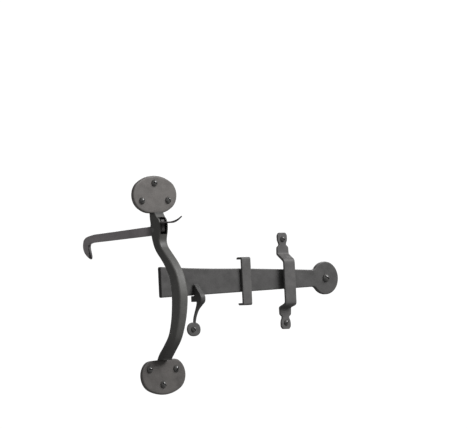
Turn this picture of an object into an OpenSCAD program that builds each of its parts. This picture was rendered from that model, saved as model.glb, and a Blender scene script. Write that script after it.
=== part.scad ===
// Suffolk thumb latch set: door handle with thumb lever, latch bar, bar guide,
// drive-in staple and catch.
// Frame: millimetres, +X along the latch bar towards its penny end, +Z up.
// The back of every plate lies on the plane Y = 0 and the fronts face -Y.
// The origin is the centre of the upper bean plate's back face.

/* [Bean plates] */
// Width of each bean plate
bean_w = 59; // [52:1:64]
// Height of the full oval that each bean plate is cut from
bean_h = 40; // [36:1:44]
// Radius of the round ends of the upper plate's oval
upper_end_r = 16; // [13:0.5:17]
// Radius of the round ends of the lower plate's oval
lower_end_r = 17; // [13:0.5:17.5]
// Tilt of the hand-cut lower plate's outline
lower_tilt = 3.5; // [0:0.5:4]
// Thickness of both bean plates
bean_t = 3.6; // [3:0.1:5]
// Height of the flat neck edge below the upper plate's centre
upper_edge_drop = 18.9; // [17:0.1:19.2]
// Height of the flat foot edge above the lower plate's centre
lower_edge_rise = 16; // [15:0.5:18]
// Distance from the upper plate's centre down to the lower plate's centre
plate_pitch = 188.4; // [180:0.2:196]

/* [Handle] */
// Width of the grip across the hand
grip_w = 12.2; // [11:0.1:14]
// Depth of the grip at its thickest
grip_d = 14.2; // [12:0.1:16]
// Reach of the grip's middle in front of the door
grip_reach = 36; // [30:0.5:42]
// Width of the lever slot through the neck
slot_w = 8; // [6.5:0.1:8.4]
// Height of the top of the lever slot
slot_top = -23.4; // [-25:0.1:-22]
// Height of the back edge of the slot floor, on which the lever rests
slot_floor = -42.3; // [-43:0.1:-42.2]
// Rise of the slot floor from the back edge to the front
slot_floor_rise = 1.1; // [0.8:0.1:1.3]

/* [Thumb lever] */
// Thickness of the lever bar
lever_t = 4.8; // [4:0.1:6]
// Distance of the pivot pin in front of the door
pivot_out = 4.5; // [4:0.1:5.5]
// Height of the pivot pin
pivot_z = -36.5; // [-37.5:0.1:-35.5]
// Diameter of the pivot pin
pivot_d = 4; // [3:0.1:4.4]
// Running clearance between pin and lever, on the radius
pivot_gap = 0.05; // [0.02:0.01:0.1]
// Greatest width of the thumb press
press_w = 17; // [14:0.5:22]
// Thickness of the thumb press
press_t = 1.3; // [1:0.1:2]
// Radius of the upward curl at the tip of the thumb press
press_curl_r = 33; // [26:1:40]

/* [Latch bar] */
// Length from the free end to the pivot screw
bar_reach = 226.1; // [200:0.1:250]
// Height of the bar at its free end
bar_h = 32.4; // [28:0.2:36]
// Height that the bar's taper would reach at the penny's centre
bar_neck_h = 16.8; // [14:0.2:20]
// Radius of the penny end
penny_r = 17.3; // [15:0.1:20]
// Thickness of the bar
bar_t = 4.5; // [3.5:0.1:4.6]
// Gap behind the bar, filled by the pivot washer
bar_back_gap = 0.9; // [0.8:0.1:1]
// Radius of the hollow where the bar runs into the penny end
bar_hollow_r = 5; // [3:0.5:8]

/* [Bar guide] */
// Full height of the guide
guide_h = 101.6; // [96:0.2:108]
// Width of the strap that crosses the bar
guide_w = 15.1; // [13:0.1:17]
// Width of the screw tabs
guide_tab_w = 13.1; // [12:0.1:14]
// Width of the waist between tab and collar
guide_waist_w = 9.6; // [8.5:0.1:11]
// Thickness of the guide strip
guide_t = 2.4; // [2:0.1:3]
// Reach of the strap's inner face in front of the door
guide_reach = 9.8; // [8:0.1:12]

/* [Staple] */
// Width of the staple strap
staple_w = 12.3; // [10:0.1:14]
// Full height of the staple
staple_h = 50.6; // [48:0.2:56]
// Thickness of the staple strap
staple_t = 2.4; // [2:0.1:2.6]
// Reach of the strap's inner face in front of the door
staple_reach = 6.3; // [6:0.1:8]

/* [Catch] */
// Width of the catch across the bar
catch_w = 6.5; // [5.5:0.1:8]
// Width of the catch stem where it meets the foot
catch_neck_w = 2.6; // [2.4:0.1:4]
// Width of the oval foot
catch_foot_w = 17.8; // [15:0.1:19]
// Height of the oval foot
catch_foot_h = 14.7; // [13:0.1:16]
// Thickness of the oval foot
catch_foot_t = 2; // [1.8:0.1:2.4]

/* [Screws] */
// Head diameter of the plate screws
plate_screw_head_d = 7.4; // [6.5:0.1:8.5]
// Head diameter of the guide and catch screws
small_screw_head_d = 6.2; // [5.8:0.1:7]
// Head diameter of the bar's pivot screw
pivot_screw_head_d = 8.4; // [7.5:0.1:10]
// Length of the plate screws under the head
plate_screw_l = 14.3; // [12.7:0.1:32]
// Length of the guide and catch screws under the head
small_screw_l = 9.5; // [9:0.1:20]
// Length of the pivot screw under the head
pivot_screw_l = 19; // [17:0.5:32]

/* [Hidden] */
$fn = 96;
eps = 0.01;
// Lap that lets two smooth arcs cross instead of only touching
arc_lap = 0.02;
plate_screws = ["upper_top", "upper_left", "upper_right", "lower_left", "lower_right", "lower_bottom"];
guide_screws = ["guide_top", "guide_bottom"];

iron = "#5a5959";
iron_light = "#6e6b69";
iron_dark = "#3c3b39";

// Heights and places of the plates
upper_cz = 0;
lower_cx = 1.2;
lower_cz = upper_cz - plate_pitch;
upper_edge_z = upper_cz - upper_edge_drop;
lower_edge_z = lower_cz + lower_edge_rise;

// Screw places on the plates, as [x, z]
plate_screw_at = [
    [-0.4, 12.6], [-18, -5.6], [17.3, -5.6],
    [-18, lower_cz + 6.2], [18, lower_cz + 6.4], [-0.4, lower_cz - 9.8]
];

// Screw sizes
head_share = 0.4;
screw_shank_d = 4.4;
screw_thread_d = 4.0;
small_shank_d = 3.6;
small_thread_d = 3.2;
pivot_shank_d = 5.2;
pivot_thread_d = 4.8;
screw_hole_play = 0.2;
thread_start = 0.5;
head_slot_w = 1.2;
head_slot_depth = 1.1;

// Grip: [reach, height, width, depth, corner radius] down the handle
reach_k = grip_reach / 36;
depth_k = grip_d / 14.2;
grip_corner = 3.9;
weld_bite = 0.6;
neck_corner = 2;
grip_stations = [
    [3.9, upper_edge_z + weld_bite, grip_w + 1.2, 7.8, neck_corner],
    [5.8, -24.5, grip_w + 0.6, 11.8, neck_corner],
    [7.7, -30, grip_w, 15.4, neck_corner],
    [7.6, -37, grip_w, 15.2, neck_corner],
    [7.7, -48, grip_w - 0.4, 11.4, 3],
    [10.9, -56.5, grip_w - 0.3, 10, 3.2],
    [18.6 * reach_k, -65.4, grip_w - 0.2, 10 * depth_k, 3.5],
    [26 * reach_k, -74.5, grip_w - 0.1, 11.2 * depth_k, 3.7],
    [33 * reach_k, -87, grip_w, 13 * depth_k, grip_corner],
    [36 * reach_k, -103, grip_w, grip_d, grip_corner],
    [35.3 * reach_k, -118, grip_w, 13.8 * depth_k, grip_corner],
    [32 * reach_k, -134, grip_w, 12.4 * depth_k, grip_corner],
    [25.8 * reach_k, -149.5, grip_w - 0.1, 10.6 * depth_k, 3.6],
    [15.8, -161.6, grip_w, 9.6, 3.2],
    [8.9, -169, grip_w + 0.2, 10, 3],
    [7, lower_edge_z - weld_bite, grip_w + 0.6, 11.4, 2.6]
];
grip_steps = 3;
corner_steps = 5;

// Lever outline, as [distance behind the door face, height]
lever_rest_gap = 0.2;
lever_front = -14.2;
lever_front_foot = [-13, -39];
lever_top_z = -25.8;
lever_hook = [
    [97, -36.4], [104, -37.3], [109.6, -38.4], [113.4, -39.9], [116.1, -42.7], [117.4, -47.5],
    [117.2, -51.3], [115.4, -55.4], [112.2, -58.7], [109, -61], [106.6, -62.3], [105.3, -61.9],
    [104.8, -60], [105.1, -57.6], [106, -54.8], [107, -51.4], [107.4, -48.6], [106.8, -46.5],
    [104.4, -45.4], [97, -44.8]
];
press_z = -28.8;
press_root = 16.2;
press_curl_from = 27.3;
press_tip_at = 45.2;
// Half outline of the press, as [share of half width, reach]
press_leaf = [
    [0.78, press_root], [0.95, 18.2], [1, 20.4], [0.9, 23.2], [0.6, 26.6], [0.38, 30], [0.25, 34.5],
    [0.16, 40], [0.1, press_tip_at]
];

// Latch bar
bar_z = -91.4;
bar_end_x = 1;
penny_x = bar_end_x + bar_reach;
bar_front = bar_back_gap + bar_t;
bar_half_end = bar_h / 2;
bar_half_neck = bar_neck_h / 2;
bar_corner_r = 1.2;
washer_r = 7;
running_gap = 0.05;

// Hollow that joins the bar's sloping edge to the penny circle
edge_run = [bar_reach, bar_half_neck - bar_half_end];
edge_dir = edge_run / norm(edge_run);
edge_out = [-edge_dir[1], edge_dir[0]];
edge_start = [bar_end_x, bar_half_end];
penny_at = [penny_x, 0];
penny_depth = (penny_at - edge_start) * edge_out;
penny_along = (penny_at - edge_start) * edge_dir;
hollow_along = penny_along - sqrt(pow(penny_r + bar_hollow_r, 2) - pow(bar_hollow_r - penny_depth, 2));
hollow_on_edge = edge_start + hollow_along * edge_dir;
hollow_at = hollow_on_edge + bar_hollow_r * edge_out;
hollow_on_penny = penny_at + penny_r * (hollow_at - penny_at) / norm(hollow_at - penny_at);

// Bar guide
guide_x = 172.3;
guide_cz = -93.2;
guide_tab_l = 13.6;
guide_collar_l = 8.6;
guide_crank_l = [8, 5];
guide_screw_in = 6.8;
guide_chamfer = 3;

// Staple
staple_x = 115.8;
staple_cz = -92.5;
staple_bend_r = 1.6;

// Catch outline, as [reach in front of the door, height]
catch_x = 47.6;
catch_foot_x = 46.4;
catch_screw_x = 45.2;
catch_foot_z = -141.4;
catch_floor_z = -106.6;
catch_back = 1;
catch_block = [
    [6.1, catch_floor_z], [6.4, -94.9], [6.9, -94.2], [9.5, -97.3], [13, -101.6], [16.4, -106],
    [17.4, -109], [16.6, -113.4], [12.8, -116.8], [8.4, -120.8], [5.6, -124.8], [3.2, -130.2],
    [2.2, -134.6], [0, -134.6], [0.6, -131], [2.4, -126.6], [5.2, -121.4], [8, -116.6],
    [9.4, -113.2], [catch_back, -112.8], [catch_back, catch_floor_z]
];
// Half widths of the catch from its block down to its foot, as [half width, height]
catch_side = [
    [catch_w / 2, -90], [catch_w / 2, -112.6], [catch_w / 2 - 1.1, -118], [catch_neck_w / 2 + 0.3, -126],
    [catch_neck_w / 2, catch_foot_z + 5]
];

// Catmull-Rom spline through a list of points, with n steps between two points
function knot(p, i) = p[max(0, min(len(p) - 1, i))];
function blend4(a, b, c, d, t) =
    0.5 * (2 * b + (c - a) * t + (2 * a - 5 * b + 4 * c - d) * t * t + (3 * b - a - 3 * c + d) * t * t * t);
function spline(p, n) = concat(
    [for (i = [0 : len(p) - 2]) for (k = [0 : n - 1])
        blend4(knot(p, i - 1), knot(p, i), knot(p, i + 1), knot(p, i + 2), k / n)],
    [p[len(p) - 1]]
);

// Rounded rectangle as [across, along] points, going round anticlockwise
function round_rect(w, d, r) = [
    for (q = [0 : 3]) for (k = [0 : corner_steps])
        let (a = 90 * q + 90 * k / corner_steps)
        let (cx = (q == 0 || q == 3 ? 1 : -1) * (w / 2 - r))
        let (cd = (q < 2 ? 1 : -1) * (d / 2 - r))
        [cx + r * cos(a), cd + r * sin(a)]
];

// Direction of a path in the Y-Z plane at station i, upright at both ends
function run_of(s, i) =
    i == 0 || i == len(s) - 1 ? [0, -1] :
    let (v = [s[i - 1][0] - s[i + 1][0], s[i + 1][1] - s[i - 1][1]]) v / norm(v);

// One ring of the grip: the section stands square to the path
function grip_ring(s, i) =
    let (t = run_of(s, i))
    [for (p = round_rect(s[i][2], s[i][3], s[i][4]))
        [p[0], -s[i][0] + p[1] * t[1], s[i][1] - p[1] * t[0]]];

// Closed tube through rings that all have the same number of points
module ring_tube(rings) {
    m = len(rings[0]);
    n = len(rings);
    sides = [for (i = [0 : n - 2]) for (j = [0 : m - 1])
        [i * m + j, i * m + (j + 1) % m, (i + 1) * m + (j + 1) % m, (i + 1) * m + j]];
    first = [for (j = [m - 1 : -1 : 0]) j];
    last = [for (j = [0 : m - 1]) (n - 1) * m + j];
    polyhedron([for (r = rings) each r], concat(sides, [first, last]));
}

// Extrudes a flat X-Z shape forwards from the plane Y = 0
module forwards(t) {
    rotate([90, 0, 0]) linear_extrude(t) children();
}

// Extrudes a flat Y-Z shape along X, centred on X = 0
module across(w) {
    rotate([90, 0, 90]) linear_extrude(w, center = true) children();
}

// Cylinder along Y from y1 to y2
module y_rod(r, y1, y2) {
    translate([0, y1, 0]) rotate([-90, 0, 0]) cylinder(h = y2 - y1, r = r);
}

// Oval made of two end arcs and two long arcs that meet them smoothly
module oval(w, h, end_r) {
    c = w / 2 - end_r;
    b = h / 2;
    big_r = (c * c + b * b - end_r * end_r) / (2 * (b - end_r));
    join_x = big_r * c / (big_r - end_r);
    for (s = [-1, 1]) translate([s * c, 0]) circle(end_r + arc_lap);
    intersection() {
        translate([0, b - big_r]) circle(big_r, $fn = 180);
        translate([0, big_r - b]) circle(big_r, $fn = 180);
        square([2 * join_x, h], center = true);
    }
}

// Bean plate with three screw holes; its edge towards the grip is cut flat
module bean_plate(centre, tilt, end_r, low, high, holes) {
    difference() {
        forwards(bean_t) translate(centre) rotate(tilt) intersection() {
            oval(bean_w, bean_h, end_r);
            translate([-bean_w, low]) square([2 * bean_w, high - low]);
        }
        for (p = holes) translate([p[0], 0, p[1]])
            y_rod(screw_shank_d / 2 + screw_hole_play, -bean_t - 1, 1);
    }
}

module upper_bean_plate() {
    color(iron_light)
    bean_plate([0, upper_cz], 0, upper_end_r, -upper_edge_drop, bean_h, [for (i = [0 : 2]) plate_screw_at[i]]);
}

module lower_bean_plate() {
    color(iron_light)
    bean_plate([lower_cx, lower_cz], lower_tilt, lower_end_r, -bean_h, lower_edge_rise, [for (i = [3 : 5]) plate_screw_at[i]]);
}

// Forged grip with its slotted neck; the pin is riveted through both cheeks
module handle_grip() {
    s = spline(grip_stations, grip_steps);
    color(iron)
    difference() {
        ring_tube([for (i = [0 : len(s) - 1]) grip_ring(s, i)]);
        across(slot_w) polygon([
            [1, slot_top], [-16, slot_top], [-16, slot_floor + slot_floor_rise],
            [-13, slot_floor + slot_floor_rise], [0, slot_floor], [1, slot_floor]
        ]);
        translate([0, -pivot_out, pivot_z]) rotate([0, 90, 0])
            cylinder(h = 30, r = pivot_d / 2, center = true);
    }
}

// Domed screw along +Y: slotted head, plain shank, thread and point
module wood_screw(head_d, shank_d, thread_d, under_head, length) {
    head_h = head_share * head_d;
    dome_r = (head_d * head_d / 4 + head_h * head_h) / (2 * head_h);
    point_l = 1.4 * thread_d;
    color(iron_dark)
    difference() {
        rotate([-90, 0, 0]) union() {
            intersection() {
                translate([0, 0, -under_head - head_h + dome_r]) sphere(dome_r);
                translate([0, 0, -under_head - head_h]) cylinder(h = head_h, r = head_d);
            }
            translate([0, 0, -under_head - eps]) cylinder(h = under_head + thread_start + eps, r = shank_d / 2);
            cylinder(h = length - under_head - point_l, r = thread_d / 2);
            translate([0, 0, length - under_head - point_l])
                cylinder(h = point_l, r1 = thread_d / 2, r2 = 0.3);
        }
        rotate([0, 35, 0]) translate([-head_d, -under_head - head_h - 1, -head_slot_w / 2])
            cube([2 * head_d, 1 + head_slot_depth, head_slot_w]);
    }
}

module plate_screw(i) {
    translate([plate_screw_at[i][0], 0, plate_screw_at[i][1]])
        wood_screw(plate_screw_head_d, screw_shank_d, screw_thread_d, bean_t, plate_screw_l);
}

// Thumb lever: web in the slot, long tail behind the door and hooked end
module lever_bar() {
    tail = spline(lever_hook, 3);
    floor_z = slot_floor + lever_rest_gap;
    color(iron_light)
    difference() {
        across(lever_t) polygon(concat(
            [[2, floor_z], lever_front_foot, [lever_front, -37.5], [lever_front, lever_top_z - 1.2],
             [lever_front + 1.5, lever_top_z], [-7, lever_top_z - 0.4], [3, -32.5], [49, -34.5]],
            tail,
            [[66, -44], [41, -43.4]]
        ));
        translate([0, -pivot_out, pivot_z]) rotate([0, 90, 0])
            cylinder(h = 30, r = pivot_d / 2 + pivot_gap, center = true);
    }
}

// Thumb press: leaf-shaped plate that narrows to an upward curling tip
module thumb_press() {
    half = press_w / 2;
    leaf = spline(press_leaf, 4);
    n = len(leaf) - 1;
    color(iron_light)
    intersection() {
        translate([0, 0, -60]) linear_extrude(60) polygon(concat(
            [for (p = leaf) [p[0] * half, -p[1]]],
            [for (i = [n : -1 : 0]) [-leaf[i][0] * half, -leaf[i][1]]]
        ));
        across(2 * press_w) {
            translate([-press_curl_from, press_z - press_t]) square([press_curl_from, press_t]);
            translate([-press_curl_from, press_z + press_curl_r]) difference() {
                circle(press_curl_r + press_t, $fn = 180);
                circle(press_curl_r, $fn = 180);
                translate([0, -2 * press_curl_r]) square(4 * press_curl_r);
                translate([-2 * press_curl_r, 0]) square([4 * press_curl_r, 2 * press_curl_r]);
            }
        }
    }
    color(iron_light)
    translate([-lever_t / 2, -press_root - eps, press_z - press_t])
        cube([lever_t, press_root + eps + lever_front, press_t]);
}

module lever_pivot_pin() {
    color(iron_dark)
    translate([0, -pivot_out, pivot_z]) rotate([0, 90, 0])
        cylinder(h = grip_w, r = pivot_d / 2, center = true);
}

// Tapered latch bar with a round penny end, drilled for its pivot screw
module latch_bar() {
    color(iron)
    translate([0, -bar_back_gap, bar_z]) difference() {
        union() {
            forwards(bar_t) polygon([
                [bar_end_x + bar_corner_r, bar_half_end], [penny_x, bar_half_neck],
                [penny_x, -bar_half_neck], [bar_end_x + bar_corner_r, -bar_half_end],
                [bar_end_x, -bar_half_end + bar_corner_r], [bar_end_x, bar_half_end - bar_corner_r]
            ]);
            forwards(bar_t) translate(penny_at) circle(penny_r, $fn = 180);
            for (s = [0, 1]) forwards(bar_t) mirror([0, s]) difference() {
                polygon([hollow_on_edge, hollow_at, hollow_on_penny, [penny_x - 3, 3], [hollow_on_edge[0], 3]]);
                translate(hollow_at) circle(bar_hollow_r + arc_lap);
            }
        }
        translate([penny_x, 0, 0]) y_rod(pivot_shank_d / 2 + running_gap, -bar_t - 1, 1);
    }
}

module bar_pivot_screw() {
    translate([penny_x, 0, bar_z])
        wood_screw(pivot_screw_head_d, pivot_shank_d, pivot_thread_d, bar_front + 0.15, pivot_screw_l);
}

// Thin washer that holds the bar off the door
module bar_washer() {
    color(iron_dark)
    translate([penny_x, 0, bar_z]) difference() {
        y_rod(washer_r, 0.1 - bar_back_gap, 0);
        y_rod(pivot_shank_d / 2 + screw_hole_play, -bar_back_gap - 1, 1);
    }
}

// Side outline of one half of the guide strip, from its middle to its tab
module guide_half_profile(crank_l) {
    half = guide_h / 2;
    bend_z = half - guide_tab_l - guide_collar_l;
    strap_z = bend_z - crank_l;
    out = guide_reach + guide_t;
    polygon([
        [0, half], [-guide_t, half], [-guide_t, bend_z + 0.6], [-guide_t - 0.5, bend_z - 0.4],
        [-out + 1.8, strap_z + 2.6], [-out + 0.4, strap_z + 1], [-out, strap_z - 1.4], [-out, -eps],
        [-guide_reach, -eps], [-guide_reach, strap_z - 1.6], [-guide_reach + 0.5, strap_z - 0.5],
        [-0.6, bend_z - 1.4], [0, bend_z - 0.2]
    ]);
}

// Front outline of one half of the guide
module guide_half_front() {
    half = guide_h / 2;
    tab_z = half - guide_tab_l;
    polygon([
        [guide_w / 2, -eps], [guide_w / 2, tab_z - guide_collar_l - 6],
        [guide_w / 2 + 0.3, tab_z - guide_collar_l], [guide_w / 2, tab_z - 2.6], [guide_w / 2 - 1.4, tab_z - 0.7],
        [guide_waist_w / 2, tab_z + 0.3], [guide_waist_w / 2 + 0.3, tab_z + 2.4],
        [guide_tab_w / 2 - 0.2, half - 8.6], [guide_tab_w / 2, half - 6],
        [guide_tab_w / 2, half - guide_chamfer], [guide_tab_w / 2 - guide_chamfer * 0.8, half],
        [-guide_tab_w / 2 + guide_chamfer * 0.8, half], [-guide_tab_w / 2, half - guide_chamfer],
        [-guide_tab_w / 2, half - 6], [-guide_tab_w / 2 + 0.2, half - 8.6],
        [-guide_waist_w / 2 - 0.3, tab_z + 2.4], [-guide_waist_w / 2, tab_z + 0.3],
        [-guide_w / 2 + 1.4, tab_z - 0.7], [-guide_w / 2, tab_z - 2.6], [-guide_w / 2 - 0.3, tab_z - guide_collar_l],
        [-guide_w / 2, tab_z - guide_collar_l - 6], [-guide_w / 2, -eps]
    ]);
}

// Cranked guide: two screw tabs joined by a strap that stands off the door
module bar_guide() {
    color(iron)
    translate([guide_x, 0, guide_cz]) difference() {
        for (s = [0, 1]) mirror([0, 0, s]) intersection() {
            across(2 * guide_w) guide_half_profile(guide_crank_l[s]);
            forwards(2 * guide_reach) guide_half_front();
        }
        for (s = [-1, 1]) translate([0, 0, s * (guide_h / 2 - guide_screw_in)])
            y_rod(small_shank_d / 2 + screw_hole_play, -guide_t - 1, 1);
    }
}

module guide_screw(i) {
    side = i == 0 ? 1 : -1;
    translate([guide_x, 0, guide_cz + side * (guide_h / 2 - guide_screw_in)])
        wood_screw(small_screw_head_d, small_shank_d, small_thread_d, guide_t, small_screw_l);
}

// U-shaped staple whose chisel-pointed legs are driven into the door
module drive_in_staple() {
    out = staple_reach + staple_t;
    half = staple_h / 2;
    color(iron)
    translate([staple_x, 0, staple_cz]) across(staple_w) difference() {
        union() {
            translate([-out + staple_bend_r, -half]) square([out - staple_bend_r, staple_h]);
            translate([-out, -half + staple_bend_r]) square([out, staple_h - 2 * staple_bend_r]);
            for (s = [-1, 1]) translate([-out + staple_bend_r, s * (half - staple_bend_r)]) circle(staple_bend_r);
        }
        translate([-staple_reach, -half + staple_t]) square([out, staple_h - 2 * staple_t]);
        for (s = [-1, 1]) translate([0, s * half]) rotate(45) square(1.2, center = true);
    }
}

// Catch: hooked block for the bar on a curved stem that ends in an oval foot
module catch() {
    n = len(catch_side) - 1;
    color(iron)
    difference() {
        union() {
            translate([catch_x, 0, 0]) intersection() {
                across(catch_w) mirror([1, 0]) polygon(catch_block);
                forwards(30) polygon(concat(
                    catch_side,
                    [for (i = [n : -1 : 0]) [-catch_side[i][0] - (i == n ? 0.7 : 0), catch_side[i][1]]]
                ));
            }
            translate([catch_foot_x, 0, catch_foot_z])
                forwards(catch_foot_t) oval(catch_foot_w, catch_foot_h, catch_foot_h / 2 - 1.2);
        }
        translate([catch_screw_x, 0, catch_foot_z])
            y_rod(small_shank_d / 2 + screw_hole_play, -catch_foot_t - 1, 1);
    }
}

module catch_screw() {
    translate([catch_screw_x, 0, catch_foot_z])
        wood_screw(small_screw_head_d, small_shank_d, small_thread_d, catch_foot_t, small_screw_l);
}

upper_bean_plate();
lower_bean_plate();
handle_grip();
for (i = [0 : len(plate_screws) - 1])
    plate_screw(i);
lever_bar();
thumb_press();
lever_pivot_pin();
latch_bar();
bar_pivot_screw();
bar_washer();
bar_guide();
for (i = [0 : len(guide_screws) - 1])
    guide_screw(i);
drive_in_staple();
catch();
catch_screw();  // screw_catch
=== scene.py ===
"""Looks of a forged thumb latch: bow handle, thumb lever, latch bar, guide, staple and catch.

Every piece is worked out in the row frame: +X along the latch bar towards its penny end, +Z up, the backs of the
plates on Y = 0 and the fronts towards -Y. Sizes in the dataclasses are millimetres, meshes are metres.
"""

import logging
import math
from dataclasses import dataclass, field
from enum import Enum

import bmesh
import bpy
import numpy as np
from mathutils import Matrix, Vector


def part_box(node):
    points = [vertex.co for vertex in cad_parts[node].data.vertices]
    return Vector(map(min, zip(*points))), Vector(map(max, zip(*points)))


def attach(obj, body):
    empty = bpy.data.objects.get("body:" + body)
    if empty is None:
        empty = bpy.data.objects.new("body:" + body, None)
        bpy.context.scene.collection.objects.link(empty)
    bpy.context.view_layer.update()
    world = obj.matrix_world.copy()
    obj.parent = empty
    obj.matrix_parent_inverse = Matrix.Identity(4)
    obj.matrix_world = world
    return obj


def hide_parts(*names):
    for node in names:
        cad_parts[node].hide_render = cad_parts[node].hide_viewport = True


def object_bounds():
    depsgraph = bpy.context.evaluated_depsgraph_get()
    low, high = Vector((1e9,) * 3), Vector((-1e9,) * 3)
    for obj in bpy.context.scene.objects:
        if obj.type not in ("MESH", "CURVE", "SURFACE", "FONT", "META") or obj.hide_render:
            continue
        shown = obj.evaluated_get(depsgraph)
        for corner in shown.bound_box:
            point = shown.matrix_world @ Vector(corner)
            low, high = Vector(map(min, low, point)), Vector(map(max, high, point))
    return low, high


Colour = tuple[float, float, float]

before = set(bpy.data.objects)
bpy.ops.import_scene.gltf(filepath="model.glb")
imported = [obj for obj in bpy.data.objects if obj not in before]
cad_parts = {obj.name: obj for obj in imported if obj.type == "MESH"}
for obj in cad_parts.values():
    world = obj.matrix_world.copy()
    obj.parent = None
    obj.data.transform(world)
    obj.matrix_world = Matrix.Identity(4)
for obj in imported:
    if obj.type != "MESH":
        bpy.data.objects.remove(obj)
CAD_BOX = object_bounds()

LOG = logging.getLogger("thumb_latch")
MM = 0.001
EDGE = "edge"
# name of the attribute of painted light and shade that each coat's colour is multiplied by
TONE = "tone"
ACROSS = np.array([1.0, 0.0, 0.0])
CORNER_POINTS = 5
RIM_POINTS = 7


class Slot(Enum):
    """The record's material slots."""

    PLATE = "plate_iron"
    GRIP = "grip_iron"
    LEVER = "lever_iron"
    BAR = "bar_iron"
    FITTING = "fitting_iron"
    SCREW = "screw_steel"


class Body(Enum):
    """The bodies that pieces ride on."""

    FIXED = "fixed"
    LEVER = "thumb_lever"
    BAR = "bar"


# ---------------------------------------------------------------- surfaces


@dataclass
class Surface:
    """A closed surface in millimetres, with a wear weight at each point.

    Args:
        points: (n, 3) places.
        faces: (m, 4) corner numbers of the quads.
        edge: (n,) wear weight, 1 on outer edges and 0 on flats.
        caps: rings of corner numbers, each closed with one flat face.
        tone: (n,) how light the coat is painted there, about 1, which carries painted light and shade; None for 1
            all over.
    """

    points: np.ndarray
    faces: np.ndarray
    edge: np.ndarray
    caps: list[np.ndarray] = field(default_factory=list)
    tone: np.ndarray | None = None

    def moved(self, turn: np.ndarray, shift: np.ndarray) -> "Surface":
        """The surface turned by a 3 x 3 matrix and then shifted."""
        return Surface(self.points @ turn.T + shift, self.faces, self.edge, self.caps, self.tone)

    def shifted(self, shift: np.ndarray) -> "Surface":
        """The surface shifted without a turn."""
        return self.moved(np.eye(3), shift)

    def toned(self, tone: np.ndarray) -> "Surface":
        """The surface with a painted lightness at each point, which carries painted light and shade."""
        return Surface(self.points, self.faces, self.edge, self.caps, tone)

    def volume(self) -> float:
        """Signed volume: a sixth of the sum of a . (b x c) over the triangles, positive where faces point out."""
        fans = [np.stack([np.full(len(c) - 2, c[0]), c[1:-1], c[2:]], -1) for c in self.caps]
        triangles = np.concatenate([self.faces[:, [0, 1, 2]], self.faces[:, [0, 2, 3]], *fans])
        a, b, c = np.moveaxis((self.points - self.points.mean(axis=0))[triangles], 1, 0)
        return float(np.einsum("ij,ij->i", a, np.cross(b, c)).sum() / 6)

    def outward(self) -> "Surface":
        """The surface with every face pointing out of the metal."""
        if self.volume() > 0:
            return self
        return Surface(self.points, self.faces[:, ::-1], self.edge, [c[::-1] for c in self.caps], self.tone)


def joined(parts: list[Surface]) -> Surface:
    """Several closed surfaces as one, with their corner numbers counted on."""
    parts = [p.outward() for p in parts]
    starts = np.cumsum([0] + [len(p.points) for p in parts[:-1]])
    return Surface(
        np.concatenate([p.points for p in parts]),
        np.concatenate([p.faces + s for p, s in zip(parts, starts)]),
        np.concatenate([p.edge for p in parts]),
        [c + s for p, s in zip(parts, starts) for c in p.caps],
    )


def circle(angle: np.ndarray) -> np.ndarray:
    """Points (cos, sin) of the unit circle at some angles."""
    return np.stack([np.cos(angle), np.sin(angle)], -1)


def spun(radius: np.ndarray, y: np.ndarray, angle: np.ndarray) -> np.ndarray:
    """Points (radius * cos, y, radius * sin) of a skin that goes round the Y axis."""
    x = radius * np.cos(angle)
    return np.stack([x, np.broadcast_to(y, x.shape), radius * np.sin(angle)], -1)


def upright(line: np.ndarray, x: float = 0.0) -> np.ndarray:
    """A line in Y-Z stood at one place along the bar."""
    return np.insert(line, 0, x, axis=1)


def grid_quads(rows: int, columns: int) -> np.ndarray:
    """Quads between rows of points, (rows - 1) * columns of them; the columns go round and close."""
    i, j = np.meshgrid(np.arange(rows - 1), np.arange(columns), indexing="ij")
    k = (j + 1) % columns
    quads = np.stack([i * columns + j, i * columns + k, (i + 1) * columns + k, (i + 1) * columns + j], -1)
    return quads.reshape(-1, 4)


def rings_surface(rings: np.ndarray, edge: np.ndarray, capped: bool = True) -> Surface:
    """A tube through rings of points, closed at both ends by flat faces.

    Args:
        rings: (rows, columns, 3) places.
        edge: (rows, columns) wear weights.
        capped: False where the end rings already shrink to a point or a line.
    """
    rows, columns = rings.shape[:2]
    first = np.arange(columns)
    caps = [first[::-1], first + (rows - 1) * columns] if capped else []
    return Surface(rings.reshape(-1, 3), grid_quads(rows, columns), edge.reshape(-1), caps)


def spline(points: np.ndarray, steps: int) -> np.ndarray:
    """Catmull-Rom curve: each span is the cubic whose slope at a knot is half the step between its neighbours.

    Args:
        points: (n, k) knots.
        steps: points per span.

    Returns:
        ((n - 1) * steps + 1, k) points on the curve.
    """
    p = np.concatenate([points[:1], points, points[-1:]])
    a, b, c, d = (p[i : len(p) - 3 + i, None] for i in range(4))
    t = (np.arange(steps) / steps)[None, :, None]
    curve = 0.5 * (2 * b + (c - a) * t + (2 * a - 5 * b + 4 * c - d) * t**2 + (3 * b - a - 3 * c + d) * t**3)
    return np.concatenate([curve.reshape(-1, points.shape[1]), points[-1:]])


def evenly(line: np.ndarray, count: int, closed: bool = False) -> np.ndarray:
    """A line cut again into points that lie the same distance apart along it."""
    if closed:
        line = np.concatenate([line, line[:1]])
    run = np.concatenate([[0], np.cumsum(np.linalg.norm(np.diff(line, axis=0), axis=1))])
    at = np.linspace(0, run[-1], count, endpoint=not closed)
    return np.stack([np.interp(at, run, line[:, k]) for k in range(line.shape[1])], -1)


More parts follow.
